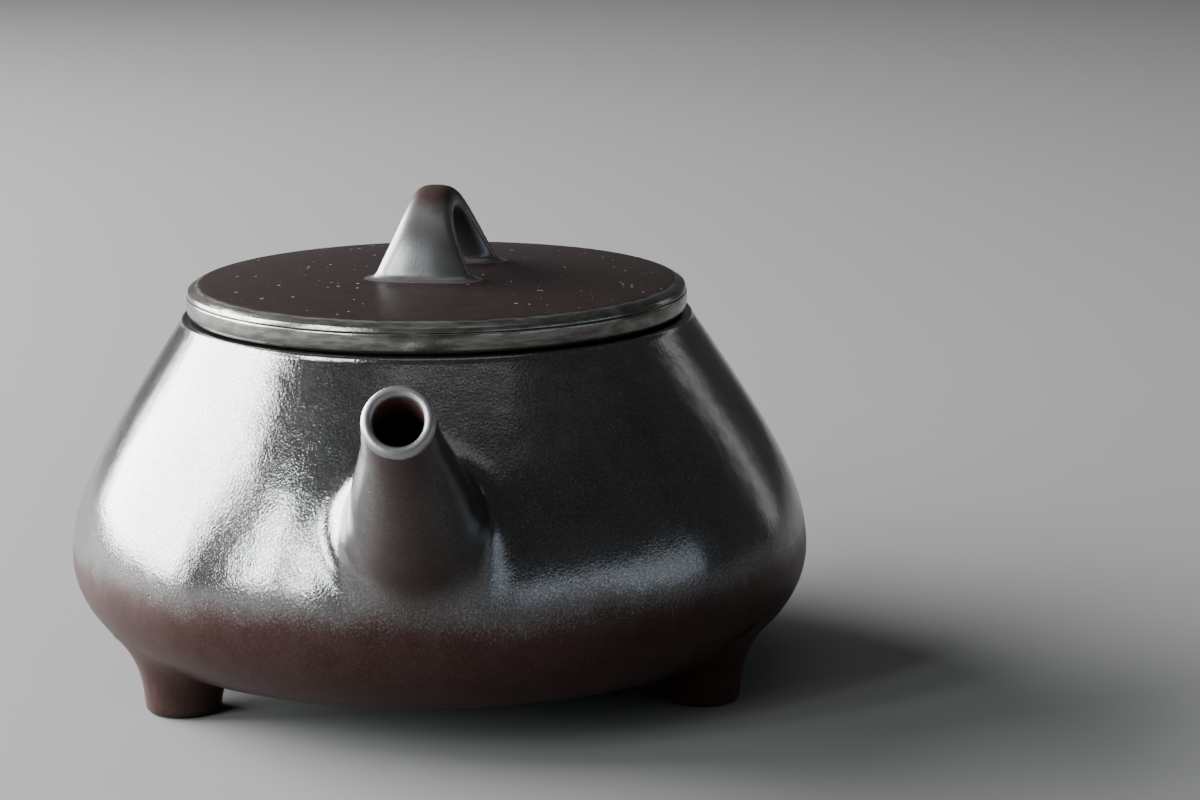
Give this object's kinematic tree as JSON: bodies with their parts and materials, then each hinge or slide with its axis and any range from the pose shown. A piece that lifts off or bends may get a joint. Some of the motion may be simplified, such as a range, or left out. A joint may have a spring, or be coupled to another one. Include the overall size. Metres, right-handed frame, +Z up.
{
  "type": "teapot",
  "caption": "Small squat clay teapot on stub feet, with a straight tapered spout, a loop handle and a loose lid with a bridge knob, for brewing and pouring tea by the cup.",
  "frame": {"origin": "on the plane that the three feet stand on, under the middle of the pot", "axes": "+Z up, -Y along the spout, +Y along the handle, +X to the right of someone who looks along +Y at the spout"},
  "size_m": [0.096, 0.1402, 0.0638],
  "materials": {
    "dark_gloss_clay": "gloss",
    "satin_lid_clay": "satin",
    "red_brown_clay": "satin",
    "bare_inner_clay": "matte"
  },
  "bodies": {
    "pot": {"body_wall": "dark_gloss_clay", "base_disc": "red_brown_clay", "mouth_ring": "dark_gloss_clay", "spout": "dark_gloss_clay", "spout_strainer": "bare_inner_clay", "handle": "dark_gloss_clay", "foot_front_left": "red_brown_clay", "foot_front_right": "red_brown_clay", "foot_rear": "red_brown_clay"},
    "lid_lifter": {"lid_flange": "bare_inner_clay"},
    "lid": {"lid_disc": "satin_lid_clay", "lid_edge_ring": "dark_gloss_clay", "lid_knob": "dark_gloss_clay"}
  },
  "joints": [
    {"name": "lid_lift", "type": "slide", "parent": "pot", "child": "lid_lifter", "axis": [0, 0, 1], "range_m": [0, 0.06]},
    {"name": "lid_turn", "type": "hinge", "parent": "lid_lifter", "child": "lid", "pos_m": [0, 0, 0.05], "axis": [0, 0, 1], "continuous": true}
  ]
}
